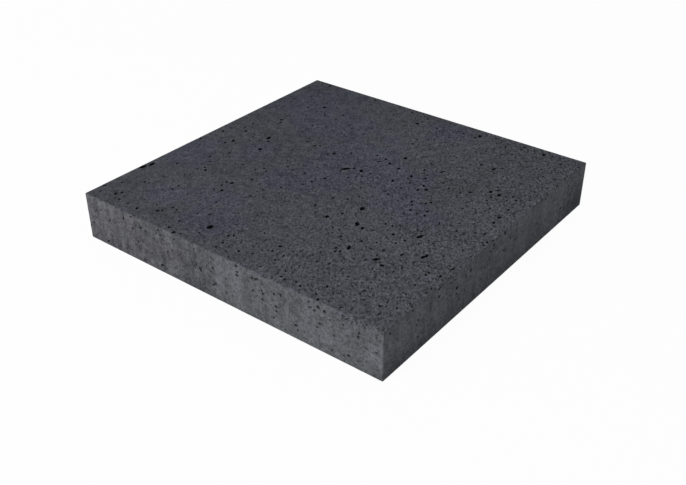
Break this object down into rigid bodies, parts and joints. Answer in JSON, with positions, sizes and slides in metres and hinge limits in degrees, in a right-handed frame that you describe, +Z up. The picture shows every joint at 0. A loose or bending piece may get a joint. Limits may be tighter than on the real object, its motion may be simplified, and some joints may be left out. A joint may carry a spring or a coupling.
{
  "type": "concrete paving slab",
  "caption": "Square slab of dark grey cast concrete with an open-pored wearing face, upright sides and eased arrises, laid flat on a bed to pave paths and terraces.",
  "frame": {"origin": "middle of the bedding face, on the level that the slab lies on", "axes": "+Z up out of the wearing face, +X along the length, +Y along the width; -Y is the side that faces left in the picture"},
  "size_m": [0.5, 0.5, 0.07],
  "materials": {
    "concrete": "matte dark grey cast concrete with open air pores, paler on the sides"
  },
  "bodies": {
    "root": {"paving_slab": "concrete"}
  },
  "joints": []
}
